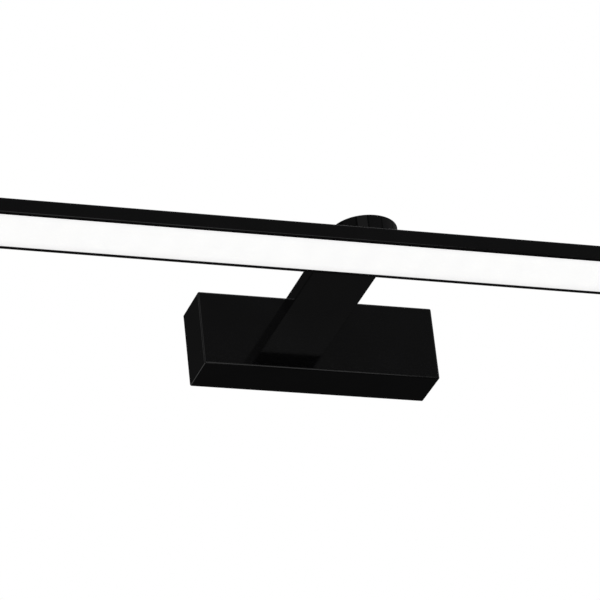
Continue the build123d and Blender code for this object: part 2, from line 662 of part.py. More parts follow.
def arm_lid():
    """The lid let into the arm's top."""
    lid = arm_slab(ARM_RIM + LID_FIT, COVER_FRONT - ARM_RIM - LID_FIT, (LID_BOTTOM, ARM_TOP))
    for x, y in LID_SCREWS:
        lid -= countersink(M2, (x, y, ARM_TOP), (0, 0, -1), LID_THICKNESS)
    return lid


def arm_lid_screws():
    """Four countersunk screws that hold the lid down."""
    places = [(x, y, ARM_TOP) for x, y in LID_SCREWS]
    return group(flat_screw(M2, place, (0, 0, -1), LID_SCREW_LENGTH) for place in places)


# Swivel


def friction_washer():
    """The plastic washer between the arm and the bar, seated in the arm's underside."""
    z_span = (BAR_TOP + FACE_GAP, ARM_BOTTOM + RECESS_DEPTH)
    washer = rod_z(FRICTION_WASHER_RADIUS, 0, PIVOT_Y, z_span)
    return washer - rod_z(STUD_RADIUS + RUNNING, 0, PIVOT_Y, z_span)


def thrust_washer():
    """The plastic washer on the arm's floor, under the spring."""
    z_span = (ARM_FLOOR_TOP, ARM_FLOOR_TOP + THRUST_WASHER)
    washer = rod_z(THRUST_WASHER_RADIUS, 0, PIVOT_Y, z_span)
    return washer - rod_z(STUD_RADIUS + RUNNING, 0, PIVOT_Y, z_span)


def disc_spring():
    """The coned spring washer that keeps the swivel stiff."""
    top = SPRING_BOTTOM + SPRING_HEIGHT
    inner = STUD_RADIUS + RUNNING
    outline = Polyline(
        (inner, top - SPRING_SHEET),
        (inner, top),
        (SPRING_RADIUS, SPRING_BOTTOM + SPRING_SHEET),
        (SPRING_RADIUS, SPRING_BOTTOM),
        close=True,
    )
    section = Plane.XZ * make_face(outline)
    return Pos(0, PIVOT_Y, 0) * revolve(section, Axis.Z)


def pivot_nut():
    """The thin nut that sets the swivel's friction."""
    nut = extrude(RegularPolygon(NUT_FLATS / 2, 6, major_radius=False), NUT_HEIGHT)
    nut = Pos(0, PIVOT_Y, NUT_BOTTOM) * nut
    return nut - rod_z(STUD_RADIUS + SNUG, 0, PIVOT_Y, (NUT_BOTTOM, NUT_BOTTOM + NUT_HEIGHT))


def pivot_stud():
    """The hollow stud that the bar hangs on. Its flange is inside the bar, and the leads pass down it."""
    flange = rod_z(STUD_FLANGE_RADIUS, 0, PIVOT_Y, (WEB_BOTTOM - STUD_FLANGE, WEB_BOTTOM))
    shank = rod_z(STUD_RADIUS, 0, PIVOT_Y, (WEB_BOTTOM, STUD_TOP))
    return flange + shank - rod_z(STUD_BORE, 0, PIVOT_Y, (WEB_BOTTOM - STUD_FLANGE, STUD_TOP))


def stop_pin():
    """The pin in the bar that limits the swivel."""
    return rod_z(STOP_PIN_RADIUS, 0, PIVOT_Y - STOP_RADIUS, (WEB_BOTTOM, STOP_PIN_TOP))


# Light bar


def bar_section():
    """The aluminium extrusion's section, drawn across the bar with Y to the right and Z up."""
    middle_z = (BAR_TOP + BAR_BOTTOM) / 2
    inside_width = BAR_WIDTH - 2 * BAR_SIDE
    lip_top = BAR_BOTTOM + LIP_THICKNESS
    section = Pos(PIVOT_Y, middle_z) * RectangleRounded(BAR_WIDTH, BAR_THICKNESS, BAR_EDGE_RADIUS)
    section -= Pos(PIVOT_Y, (lip_top + WEB_BOTTOM) / 2) * Rectangle(inside_width, WEB_BOTTOM - lip_top)
    section -= Pos(PIVOT_Y, BAR_BOTTOM) * Rectangle(BAR_WIDTH - 2 * BAR_LIP, 2 * LIP_THICKNESS)
    for side in (-1, 1):
        rail_y = PIVOT_Y + side * (inside_width - RAIL_WIDTH) / 2
        section += Pos(rail_y, RAIL_BOTTOM + RAIL_THICKNESS / 2) * Rectangle(RAIL_WIDTH, RAIL_THICKNESS)
        section += Pos(PIVOT_Y + side * PORT_Y, PORT_Z) * Circle(PORT_RADIUS)
        section -= Pos(PIVOT_Y + side * PORT_Y, PORT_Z) * Circle(PORT_HOLE)
    return section


def along_bar(section, length, middle_x=0.0):
    """A section drawn across the bar, drawn out along it."""
    return Pos(middle_x - length / 2, 0, 0) * extrude(Plane.YZ * section, length)


def bar_housing():
    """The extruded channel that the bar is made of."""
    housing = along_bar(bar_section(), HOUSING_LENGTH)
    housing -= rod_z(STUD_RADIUS + SNUG, 0, PIVOT_Y, (WEB_BOTTOM, BAR_TOP))
    return housing - rod_z(STOP_PIN_RADIUS + SNUG, 0, PIVOT_Y - STOP_RADIUS, (WEB_BOTTOM, BAR_TOP))


def diffuser():
    """The opal strip, slid into the channel from one end."""
    face_width = BAR_WIDTH - 2 * BAR_LIP - 2 * DIFFUSER_GAP
    flange_width = BAR_WIDTH - 2 * BAR_SIDE - 2 * DIFFUSER_GAP
    flange_bottom = BAR_BOTTOM + LIP_THICKNESS + DIFFUSER_GAP
    face_bottom = flange_bottom - DIFFUSER_FACE
    section = Pos(PIVOT_Y, (face_bottom + flange_bottom) / 2) * Rectangle(face_width, DIFFUSER_FACE)
    section += Pos(PIVOT_Y, flange_bottom + DIFFUSER_FLANGE / 2) * Rectangle(flange_width, DIFFUSER_FLANGE)
    return along_bar(section, HOUSING_LENGTH - 2 * DIFFUSER_GAP)


def end_cap(side):
    """The plate that closes one end of the bar, with a tongue that goes into the channel."""
    middle_z = (BAR_TOP + BAR_BOTTOM) / 2
    inner_x = side * HOUSING_LENGTH / 2
    outer_x = side * BAR_LENGTH / 2
    tongue_x = inner_x - side * CAP_TONGUE
    face = Pos(PIVOT_Y, middle_z) * RectangleRounded(BAR_WIDTH, BAR_THICKNESS, BAR_EDGE_RADIUS)
    cap = along_bar(face, CAP_THICKNESS, (inner_x + outer_x) / 2)
    outer_rim = cap.edges().group_by(Axis.X)[0 if side < 0 else -1]
    cap = fillet(outer_rim, CAP_EDGE_RADIUS)
    y_span = (PIVOT_Y - CAP_TONGUE_HALF_WIDTH, PIVOT_Y + CAP_TONGUE_HALF_WIDTH)
    z_span = (RAIL_BOTTOM + DIFFUSER_GAP, WEB_BOTTOM - DIFFUSER_GAP)
    cap += block(sorted((tongue_x, inner_x)), y_span, z_span)
    for y in (PIVOT_Y - PORT_Y, PIVOT_Y + PORT_Y):
        cap -= countersink(CAP_SCREW, (outer_x, y, PORT_Z), (-side, 0, 0), CAP_THICKNESS)
    return cap


def end_cap_screws():
    """Two countersunk screws in each end cap, into the channel's screw ports."""
    screws = []
    for side in (-1, 1):
        for y in (PIVOT_Y - PORT_Y, PIVOT_Y + PORT_Y):
            head_top = (side * BAR_LENGTH / 2, y, PORT_Z)
            screws.append(flat_screw(CAP_SCREW, head_top, (-side, 0, 0), CAP_SCREW_LENGTH))
    return group(screws)


def board_strip(z_span):
    """A strip as long and wide as the LED board, with the hole round the stud's flange."""
    half_length = BOARD_LENGTH / 2
    half_width = BOARD_WIDTH / 2
    strip = block((-half_length, half_length), (PIVOT_Y - half_width, PIVOT_Y + half_width), z_span)
    return strip - rod_z(BOARD_HOLE, 0, PIVOT_Y, z_span)


def thermal_tape():
    """The heat-conducting tape that holds the LED board under the web."""
    return board_strip((BOARD_TOP, WEB_BOTTOM))


def led_board():
    """The aluminium circuit board that carries the LEDs."""
    return board_strip((BOARD_BOTTOM, BOARD_TOP))


def led_chips():
    """Two rows of LEDs under the board."""
    length, width, height = CHIP_SIZE
    first_x = -(CHIPS_PER_ROW - 1) * CHIP_PITCH / 2
    chips = []
    for index in range(CHIPS_PER_ROW):
        for row_y in (PIVOT_Y - CHIP_ROW_Y, PIVOT_Y + CHIP_ROW_Y):
            middle = Pos(first_x + index * CHIP_PITCH, row_y, BOARD_BOTTOM - height / 2)
            chips.append(middle * Box(length, width, height))
    return group(chips)


def solder_joints():
    """The two joints where the leads meet the LED board."""
    length, width, height = SOLDER_SIZE
    y_span = (PIVOT_Y - width / 2, PIVOT_Y + width / 2)
    joints = []
    for side in (-1, 1):
        x_span = sorted((side * BAR_LEAD_END, side * (BAR_LEAD_END + length)))
        joint = block(x_span, y_span, (BOARD_BOTTOM - height, BOARD_BOTTOM))
        joints.append(fillet(joint.edges().group_by(Axis.Z)[0], SOLDER_EDGE_RADIUS))
    return group(joints)


# Wires


def mains_lead(pole):
    """A mains lead from the terminal block to the driver's board."""
    route = [
        (MAINS_START_X, POLE_Y, MAINS_POLE_Z[pole]),
        (-38.0, POLE_Y, MAINS_POLE_Z[pole]),
        (-26.0, MAINS_Y, MAINS_BOARD_Z[pole]),
        (MAINS_BOARD_X, MAINS_Y, MAINS_BOARD_Z[pole]),
        (MAINS_BOARD_X, BOARD_FACE, MAINS_BOARD_Z[pole]),
    ]
    return lead(f"mains lead, {pole}", route, [8.0, 8.0, 2.5], MAINS_RADIUS)


def earth_lead():
    """The earth lead from the terminal block to the ring terminal."""
    route = [
        (MAINS_START_X, POLE_Y, POLE_PITCH),
        (-39.5, POLE_Y, POLE_PITCH),
        (-34.5, BARREL_Y, EARTH[1]),
        (BARREL_X[1] - 0.5, BARREL_Y, EARTH[1]),
    ]
    return lead("earth lead", route, [4.0, 4.0], MAINS_RADIUS)


def arm_lead(side):
    """A low-voltage lead in the plate and the arm, from the driver's board to the swivel.
    side is +1 for the positive lead, which turns into the arm first, and -1 for the negative one."""
    x = side * LEAD_SPREAD
    y = LEAD_Y - side * LEAD_Y_SPREAD
    board_x = LEAD_BOARD_X + side * LEAD_Y_SPREAD
    route = [
        (board_x, BOARD_FACE, LEAD_BOARD_Z),
        (board_x, y, LEAD_BOARD_Z),
        (LEAD_TURN_X, y, LEAD_BOARD_Z),
        (LEAD_TURN_X, y, ARM_MIDDLE),
        (x, y, ARM_MIDDLE),
        (x, LEAD_RISE_Y[0], ARM_MIDDLE),
        (x, LEAD_RISE_Y[1], LEAD_TOP),
        (x, PIVOT_Y, LEAD_TOP),
        (x, PIVOT_Y, LEAD_SPLIT),
    ]
    return lead(f"arm lead {side:+d}", route, [2.5, 3.4, 3.4, 6.0, 40.0, 40.0, 2.2], LEAD_RADIUS)


def bar_lead(side):
    """A low-voltage lead in the bar, from the swivel to the LED board."""
    route = [
        (side * LEAD_SPREAD, PIVOT_Y, LEAD_SPLIT - FACE_GAP),
        (side * LEAD_SPREAD, PIVOT_Y, LEAD_LOW),
        (side * BAR_LEAD_END, PIVOT_Y, LEAD_LOW),
    ]
    return lead(f"bar lead {side:+d}", route, [2.0], LEAD_RADIUS)


PARTS = {
    "backplate_cover": backplate_cover(),
    "wall_bracket": wall_bracket(),
    "cable_grommet": cable_grommet(),
    "cover_screws": cover_screws(),
    "terminal_block": terminal_block(),
    "terminal_inserts": terminal_inserts(),
    "terminal_screws": terminal_screws(),
    "terminal_fixing_screw": terminal_fixing_screw(),
    "earth_stud": earth_stud(),
    "earth_washer": earth_washer(),
    "earth_ring_terminal": earth_ring_terminal(),
    "earth_nut": earth_nut(),
    "earth_lead": earth_lead(),
    "mains_lead_live": mains_lead("live"),
    "mains_lead_neutral": mains_lead("neutral"),
    "driver_pad": driver_pad(),
    "driver_case": driver_case(),
    "driver_lid": driver_lid(),
    "driver_board": driver_board(),
    "driver_board_feet": driver_board_feet(),
    "driver_transformer": driver_transformer(),
    "driver_winding": driver_winding(),
    "driver_capacitors": driver_capacitors(),
    "driver_choke": driver_choke(),
    "driver_fuse": driver_fuse(),
    "arm_backing_plate": arm_backing_plate(),
    "arm_root_screws": arm_root_screws(),
    "arm_grommet": arm_grommet(),
    "arm_body": arm_body(),
    "arm_lid": arm_lid(),
    "arm_lid_screws": arm_lid_screws(),
    "arm_lead_positive": arm_lead(1),
    "arm_lead_negative": arm_lead(-1),
    "friction_washer": friction_washer(),
    "thrust_washer": thrust_washer(),
    "disc_spring": disc_spring(),
    "pivot_nut": pivot_nut(),
    "pivot_stud": pivot_stud(),
    "stop_pin": stop_pin(),
    "bar_housing": bar_housing(),
    "diffuser": diffuser(),
    "end_cap_left": end_cap(-1),
    "end_cap_right": end_cap(1),
    "end_cap_screws": end_cap_screws(),
    "thermal_tape": thermal_tape(),
    "led_board": led_board(),
    "led_chips": led_chips(),
    "solder_joints": solder_joints(),
    "bar_lead_positive": bar_lead(1),
    "bar_lead_negative": bar_lead(-1),
}

for name, shape in PARTS.items():
    export_step(shape, f"parts/{name}.step")
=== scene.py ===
import json
import math

import bmesh
import bpy
from mathutils import Matrix, Vector

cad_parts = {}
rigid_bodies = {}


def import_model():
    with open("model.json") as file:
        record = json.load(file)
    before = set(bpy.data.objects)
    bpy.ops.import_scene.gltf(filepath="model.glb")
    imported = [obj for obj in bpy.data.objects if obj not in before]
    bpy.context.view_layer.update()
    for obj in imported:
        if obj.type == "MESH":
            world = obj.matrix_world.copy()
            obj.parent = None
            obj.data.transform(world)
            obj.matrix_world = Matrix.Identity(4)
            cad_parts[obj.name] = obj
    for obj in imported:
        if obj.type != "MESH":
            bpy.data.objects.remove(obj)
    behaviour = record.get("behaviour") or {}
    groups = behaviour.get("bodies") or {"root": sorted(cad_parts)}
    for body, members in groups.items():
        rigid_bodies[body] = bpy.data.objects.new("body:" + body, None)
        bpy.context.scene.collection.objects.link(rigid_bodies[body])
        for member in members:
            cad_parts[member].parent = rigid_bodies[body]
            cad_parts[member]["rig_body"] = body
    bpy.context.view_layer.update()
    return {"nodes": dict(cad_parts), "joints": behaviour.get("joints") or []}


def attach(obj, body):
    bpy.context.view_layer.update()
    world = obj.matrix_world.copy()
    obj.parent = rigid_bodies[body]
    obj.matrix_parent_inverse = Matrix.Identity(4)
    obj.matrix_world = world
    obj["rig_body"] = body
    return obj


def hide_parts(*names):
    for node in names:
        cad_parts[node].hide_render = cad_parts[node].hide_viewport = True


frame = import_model()
scene = bpy.context.scene
nodes = frame["nodes"]
MM = 0.001

pivot = Vector(frame["joints"][0]["pos_m"])

# The camera, from the fit to the photograph: its axes, its place in metres and its lens in millimetres
CAMERA_RIGHT = Vector((0.9430800, -0.3175436, -0.0988242))
CAMERA_UP = Vector((-0.0696791, -0.4792293, 0.8749195))
CAMERA_PLACE = (-0.65691, -1.65677, -0.92591)
CAMERA_LENS = 237.33

LED_PITCH = 0.016  # in metres, the ripple in the diffuser's glow
FLOOR_LEVEL = -2.87
FLOOR_HALF = 40.0
SURROUND_FOR_THE_OBJECT = 0.024
SURROUND_FOR_THE_CAMERA = 1.0
LIGHTS_AIM = Vector((0.0, -0.06, 0.0))

slot_of = {part: node.material_slots[0].material.name for part, node in nodes.items()}


# Camera, surround, floor and lights


def make_camera():
    """A long lens, low down and to the left of the light."""
    back = CAMERA_RIGHT.cross(CAMERA_UP)
    data = bpy.data.cameras.new("camera")
    data.sensor_width = 36.0
    data.lens = CAMERA_LENS
    data.clip_start = 0.05
    data.clip_end = 60.0
    camera = bpy.data.objects.new("camera", data)
    scene.collection.objects.link(camera)
    turn = Matrix((CAMERA_RIGHT, CAMERA_UP, back)).transposed().to_4x4()
    camera.matrix_world = Matrix.Translation(CAMERA_PLACE) @ turn
    scene.camera = camera


def make_surround():
    """White where the camera looks past the object, and dim where the object is lit by it."""
    world = bpy.data.worlds.new("studio")
    world.use_nodes = True
    tree = world.node_tree
    tree.nodes.clear()
    path = tree.nodes.new("ShaderNodeLightPath")
    mix = tree.nodes.new("ShaderNodeMixShader")
    output = tree.nodes.new("ShaderNodeOutputWorld")
    tree.links.new(path.outputs["Is Camera Ray"], mix.inputs[0])
    for socket, level in ((1, SURROUND_FOR_THE_OBJECT), (2, SURROUND_FOR_THE_CAMERA)):
        background = tree.nodes.new("ShaderNodeBackground")
        background.inputs["Color"].default_value = (1, 1, 1, 1)
        background.inputs["Strength"].default_value = level
        tree.links.new(background.outputs[0], mix.inputs[socket])
    tree.links.new(mix.outputs[0], output.inputs[0])
    scene.world = world


def make_floor():
    """A plain pale floor, far down. It doesn't light the object or show in its reflections."""
    data = bpy.data.meshes.new("floor")
    sides = ((-1, -1), (1, -1), (1, 1), (-1, 1))
    corners = [(x * FLOOR_HALF, y * FLOOR_HALF, FLOOR_LEVEL) for x, y in sides]
    data.from_pydata(corners, [], [(0, 1, 2, 3)])
    floor = bpy.data.objects.new("floor", data)
    scene.collection.objects.link(floor)
    floor.visible_glossy = False
    floor.visible_diffuse = False
    surface = Surface("floor_pale", Emission_Color=(1, 1, 0.99, 1), Emission_Strength=0.91)
    surface.colour(surface.noise(3.0), (0.16, 0.16, 0.155), (0.20, 0.20, 0.195))
    surface.value("Roughness", surface.noise(12.0), 0.8, 0.95)
    floor.data.materials.append(surface.material)


def softbox(name, place, size, radiance):
    """A square studio light of a given radiance, turned towards the object."""
    data = bpy.data.lights.new(name, "AREA")
    data.shape = "SQUARE"
    data.size = size
    data.energy = radiance * math.pi * size * size
    light = bpy.data.objects.new(name, data)
    aim = LIGHTS_AIM - Vector(place)
    light.location = place
    light.rotation_euler = aim.to_track_quat("-Z", "Y").to_euler()
    light.visible_camera = False
    scene.collection.objects.link(light)
    return light


# Materials


class Surface:
    """A material made of noise and patterns in the object's own coordinates, in metres."""

    def __init__(self, name, **constants):
        self.material = bpy.data.materials.new(name)
        self.material.use_nodes = True
        self.tree = self.material.node_tree
        self.shader = self.tree.nodes["Principled BSDF"]
        self.place = self.node("ShaderNodeTexCoord").outputs["Object"]
        self.normal = None
        for socket, number in constants.items():
            self.shader.inputs[socket.replace("_", " ")].default_value = number

    def node(self, kind, **inputs):
        made = self.tree.nodes.new(kind)
        for socket, value in inputs.items():
            socket = socket.replace("_", " ")
            if isinstance(value, bpy.types.NodeSocket):
                self.tree.links.new(value, made.inputs[socket])
            else:
                made.inputs[socket].default_value = value
        return made

    def stretched(self, factors, offset=(0, 0, 0)):
        """The object's coordinates, scaled along each axis."""
        made = self.node("ShaderNodeMapping", Vector=self.place, Scale=factors)
        made.inputs["Location"].default_value = offset
        return made.outputs[0]

    def noise(self, scale, detail=3.0, place=None, roughness=0.5):
        made = self.node("ShaderNodeTexNoise", Vector=place or self.place, Scale=scale, Detail=detail,
                         Roughness=roughness)
        return made.outputs["Fac"]

    def cells(self, scale, output="Distance"):
        return self.node("ShaderNodeTexVoronoi", Vector=self.place, Scale=scale).outputs[output]

    def bands(self, scale, axis="X", kind="BANDS", distortion=0.0, place=None):
        made = self.node("ShaderNodeTexWave", Vector=place or self.place, Scale=scale, Distortion=distortion)
        made.wave_type = kind
        if kind == "RINGS":
            made.rings_direction = axis
        else:
            made.bands_direction = axis
        return made.outputs["Fac"]

    def maths(self, operation, first, second=0.0):
        made = self.tree.nodes.new("ShaderNodeMath")
        made.operation = operation
        for index, value in enumerate((first, second)):
            if isinstance(value, bpy.types.NodeSocket):
                self.tree.links.new(value, made.inputs[index])
            else:
                made.inputs[index].default_value = value
        return made.outputs[0]

    def mapped(self, factor, low, high, start=0.35, end=0.65):
        """A factor from start to end becomes a number from low to high."""
        made = self.node("ShaderNodeMapRange", Value=factor)
        for socket, number in (("From Min", start), ("From Max", end), ("To Min", low), ("To Max", high)):
            made.inputs[socket].default_value = number
        return made.outputs[0]

    def ramp(self, factor, stops):
        made = self.node("ShaderNodeValToRGB", Fac=factor)
        elements = made.color_ramp.elements
        while len(elements) < len(stops):
            elements.new(0.5)
        for element, (position, tone) in zip(elements, stops):
            element.position = position
            element.color = (*tone, 1)
        return made.outputs[0]

    def mixed(self, factor, first, second):
        made = self.tree.nodes.new("ShaderNodeMix")
        made.data_type = "RGBA"
        for index, value in ((0, factor), (6, first), (7, second)):
            if isinstance(value, bpy.types.NodeSocket):
                self.tree.links.new(value, made.inputs[index])
            else:
                made.inputs[index].default_value = (*value, 1) if index else value
        return made.outputs[2]

    def set(self, socket, value):
        self.tree.links.new(value, self.shader.inputs[socket])

    def colour(self, factor, dark, light, start=0.35, end=0.65):
        self.set("Base Color", self.ramp(factor, ((start, dark), (end, light))))

    def value(self, socket, factor, low, high, start=0.35, end=0.65):
        self.set(socket, self.mapped(factor, low, high, start, end))

    def relief(self, height, distance):
        """Adds a bump whose height goes from 0 to a distance in metres."""
        made = self.node("ShaderNodeBump", Strength=1.0, Distance=distance, Height=height)
        if self.normal is not None:
            self.tree.links.new(self.normal, made.inputs["Normal"])
        self.normal = made.outputs[0]
        self.set("Normal", self.normal)


def gloss_black_paint():
    """Sprayed and baked black enamel: deep gloss, a little orange peel, faint polishing haze and dust."""
    s = Surface("enamel_gloss_black")
    s.colour(s.noise(60.0), (0.0042, 0.0042, 0.0045), (0.0056, 0.0056, 0.0060))
    haze = s.noise(90.0, 5.0)
    dust = s.mapped(s.cells(900.0), 1.0, 0.0, 0.02, 0.10)
    s.set("Roughness", s.maths("ADD", s.mapped(haze, 0.045, 0.085), s.maths("MULTIPLY", dust, 0.10)))
    s.relief(s.noise(650.0, 1.0), 0.9e-6)
    s.relief(s.noise(4500.0, 2.0), 0.15e-6)
    return s.material


def black_screw():
    """Black zinc plating, rubbed through to grey in places by the driver."""
    s = Surface("black_zinc", Metallic=0.85)
    rubbed = s.noise(1800.0, 6.0, roughness=0.7)
    s.colour(rubbed, (0.018, 0.018, 0.020), (0.10, 0.10, 0.105), 0.52, 0.80)
    s.value("Roughness", s.noise(2500.0, 4.0), 0.24, 0.46)
    s.relief(s.noise(9000.0, 3.0), 1.5e-6)
    return s.material


def galvanised_steel():
    """Hot-dip zinc with its spangle, dulled and lightly scratched."""
    s = Surface("zinc_spangle", Metallic=1.0)
    spangle = s.cells(560.0, "Color")
    grey = s.node("ShaderNodeSeparateColor", Color=spangle).outputs[0]
    tone = s.ramp(grey, ((0.0, (0.47, 0.49, 0.51)), (0.5, (0.55, 0.57, 0.59)), (1.0, (0.64, 0.66, 0.67))))
    stain = s.noise(55.0, 5.0)
    s.set("Base Color", s.mixed(s.mapped(stain, 0.0, 0.45), tone, (0.34, 0.35, 0.36)))
    scratches = s.noise(120.0, 6.0, s.stretched((1.0, 14.0, 14.0)), 0.75)
    s.set("Roughness", s.maths("ADD", s.mapped(grey, 0.30, 0.42, 0.0, 1.0), s.mapped(scratches, 0.0, 0.12)))
    s.relief(grey, 3.0e-6)
    s.relief(scratches, 4.0e-6)
    return s.material


def black_rubber():
    """Moulded rubber: matt, faintly dusty, with a fine mould texture."""
    s = Surface("rubber_black", Specular_IOR_Level=0.35)
    s.colour(s.noise(240.0, 5.0), (0.010, 0.010, 0.010), (0.030, 0.029, 0.028))
    s.value("Roughness", s.noise(700.0, 4.0), 0.58, 0.82)
    s.relief(s.noise(3800.0, 4.0), 12.0e-6)
    return s.material


def moulded(name, rough, grain=2600.0, depth=4.0e-6, **constants):
    """Moulded plastic without its colour: flow marks in its gloss and a fine mould grain."""
    s = Surface(name, **constants)
    flow = s.noise(160.0, 4.0, s.stretched((1.0, 1.0, 5.0)))
    s.value("Roughness", flow, *rough)
    s.relief(s.noise(grain, 3.0), depth)
    return s


def plastic(name, dark, light, rough, grain=2600.0, depth=4.0e-6, blotch=180.0, **constants):
    """Moulded plastic in a slightly uneven colour."""
    s = moulded(name, rough, grain, depth, **constants)
    s.colour(s.noise(blotch, 4.0), dark, light)
    return s


def terminal_polyamide():
    return plastic("polyamide_natural", (0.60, 0.57, 0.48), (0.70, 0.67, 0.59), (0.34, 0.52),
                   Subsurface_Weight=0.15, Subsurface_Scale=0.001).material


def driver_polycarbonate():
    return plastic("polycarbonate_white", (0.70, 0.70, 0.67), (0.78, 0.78, 0.76), (0.36, 0.52), 1500.0,
                   9.0e-6).material


def white_nylon():
    return plastic("nylon_white", (0.66, 0.65, 0.60), (0.76, 0.75, 0.71), (0.38, 0.55),
                   Subsurface_Weight=0.2, Subsurface_Scale=0.001).material


def insulation(name, dark, light):
    """Wire insulation: a soft sheen, with fine lines along it from the extruder."""
    return plastic(name, dark, light, (0.30, 0.48), 5200.0, 2.0e-6, 420.0).material


def earth_insulation():
    """Green insulation with a yellow stripe that winds round the wire."""
    s = moulded("insulation_earth", (0.30, 0.46), 5200.0, 2.0e-6)
    turned = s.stretched((70.0, 110.0, 250.0))
    stripe = s.mapped(s.bands(1.0, "DIAGONAL", place=turned), 0.0, 1.0, 0.55, 0.60)
    green = s.ramp(s.noise(300.0), ((0.35, (0.02, 0.20, 0.05)), (0.65, (0.03, 0.26, 0.06))))
    s.set("Base Color", s.mixed(stripe, green, (0.75, 0.60, 0.03)))
    return s.material


def metal(name, dark, light, rough, lines=None, blotch=260.0, depth=2.5e-6, pits=5200.0):
    """Bare or plated metal: patches of tarnish, uneven gloss, and tool marks along one axis."""
    s = Surface(name, Metallic=1.0)
    s.colour(s.noise(blotch, 5.0), dark, light)
    s.value("Roughness", s.noise(900.0, 5.0), *rough)
    s.relief(s.noise(pits, 3.0), depth * 0.4)
    if lines:
        s.relief(s.noise(1.0, 3.0, s.stretched(lines)), depth)
    return s


def brass():
    return metal("brass_turned", (0.46, 0.29, 0.09), (0.72, 0.50, 0.19), (0.18, 0.36),
                 (9000.0, 300.0, 300.0)).material


def plated_steel():
    return metal("zinc_bright", (0.50, 0.52, 0.56), (0.68, 0.69, 0.70), (0.20, 0.38)).material


def tinned_copper():
    return metal("tin_on_copper", (0.52, 0.47, 0.42), (0.68, 0.66, 0.63), (0.24, 0.42)).material


def copper_wire():
    """Enamelled copper wire in close turns."""
    s = metal("copper_enamelled", (0.42, 0.13, 0.04), (0.66, 0.26, 0.09), (0.22, 0.36))
    turns = s.bands(1.0, "Y", place=s.stretched((0.0, 520.0, 0.0)))
    s.relief(turns, 60.0e-6)
    return s.material


def spring_steel():
    """Blued spring steel."""
    return metal("spring_blued", (0.10, 0.11, 0.15), (0.24, 0.25, 0.29), (0.22, 0.36)).material


def turned_steel():
    """Turned steel, with the tool's rings about the swivel's axis."""
    s = metal("steel_turned", (0.42, 0.43, 0.44), (0.60, 0.60, 0.60), (0.20, 0.34))
    centred = s.stretched((1.0, 1.0, 1.0), (-pivot.x, -pivot.y, 0.0))
    s.relief(s.bands(900.0, "Z", "RINGS", place=centred), 3.0e-6)
    return s.material


def solder():
    return metal("solder_tin_lead", (0.40, 0.41, 0.42), (0.64, 0.64, 0.63), (0.16, 0.34), None, 900.0,
                 9.0e-6, 1600.0).material


def foam():
    """Closed-cell foam tape with its pores, painted darker in the pits as painted shade."""
    s = Surface("foam_grey", Specular_IOR_Level=0.2)
    pores_and_painted_shade = s.cells(2600.0)
    # Painted shade: the colour is darker where the pores sink, as if shade fell in the pits
    s.colour(pores_and_painted_shade, (0.045, 0.046, 0.048), (0.12, 0.12, 0.125), 0.1, 0.6)
    s.value("Roughness", s.noise(800.0), 0.85, 0.98)
    s.relief(pores_and_painted_shade, 90.0e-6)
    return s.material


def board(name, mask, track, pitch):
    """A circuit board: solder mask over copper tracks, with tinned pads."""
    s = Surface(name)
    lanes = s.mapped(s.bands(1.0, "Z", distortion=1.5, place=s.stretched((pitch, pitch, pitch))),
                     0.0, 1.0, 0.46, 0.54)
    tone = s.mixed(lanes, mask, track)
    pads = s.mapped(s.cells(pitch * 0.7), 1.0, 0.0, 0.13, 0.16)
    s.set("Base Color", s.mixed(pads, tone, (0.62, 0.62, 0.60)))
    s.set("Metallic", pads)
    s.value("Roughness", s.noise(500.0, 4.0), 0.22, 0.40)
    s.relief(lanes, 25.0e-6)
    s.relief(pads, 30.0e-6)
    return s.material


def circuit_board():
    return board("mask_green", (0.006, 0.075, 0.030), (0.012, 0.13, 0.05), 420.0)


def white_board():
    return board("mask_white", (0.74, 0.75, 0.74), (0.80, 0.81, 0.80), 160.0)


def ferrite():
    """Sintered ferrite: charcoal, dry and slightly grainy."""
    return plastic("ferrite_grey", (0.022, 0.022, 0.024), (0.050, 0.050, 0.054), (0.55, 0.80), 3200.0,
                   16.0e-6, 500.0).material


def capacitor_sleeve():
    """Shrink sleeve in dark blue, with the pale band that marks the negative side."""
    s = moulded("sleeve_blue", (0.16, 0.30), 1400.0, 5.0e-6)
    band = s.bands(1.0, "Z", place=s.stretched((0.0, 0.0, 28.0)))
    blue = s.ramp(s.noise(300.0), ((0.35, (0.010, 0.014, 0.050)), (0.65, (0.016, 0.022, 0.075))))
    s.set("Base Color", s.mixed(s.mapped(band, 0.0, 1.0, 0.86, 0.88), blue, (0.45, 0.48, 0.52)))
    return s.material


def choke_sleeve():
    return plastic("sleeve_black", (0.012, 0.012, 0.013), (0.028, 0.028, 0.030), (0.24, 0.42), 1500.0,
                   14.0e-6).material


def fuse_body():
    return plastic("ceramic_brown", (0.17, 0.075, 0.035), (0.24, 0.11, 0.055), (0.24, 0.40), 2400.0,
                   6.0e-6).material


def heat_tape():
    """Heat-conducting tape with glass cloth showing through."""
    s = Surface("heat_tape_grey", Specular_IOR_Level=0.3)
    warp = s.bands(500.0, "X")
    weft = s.bands(500.0, "Y")
    weave = s.maths("MULTIPLY", warp, weft)
    s.colour(weave, (0.30, 0.33, 0.36), (0.42, 0.45, 0.48), 0.1, 0.8)
    s.value("Roughness", s.noise(600.0), 0.6, 0.8)
    s.relief(weave, 20.0e-6)
    return s.material


def led_phosphor():
    """White LED packages with a yellow phosphor face."""
    s = plastic("phosphor_yellow", (0.80, 0.62, 0.10), (0.88, 0.72, 0.20), (0.34, 0.50), 3000.0, 6.0e-6,
                900.0, Emission_Strength=0.6)
    s.shader.inputs["Emission Color"].default_value = (1.0, 0.86, 0.55, 1)
    return s.material


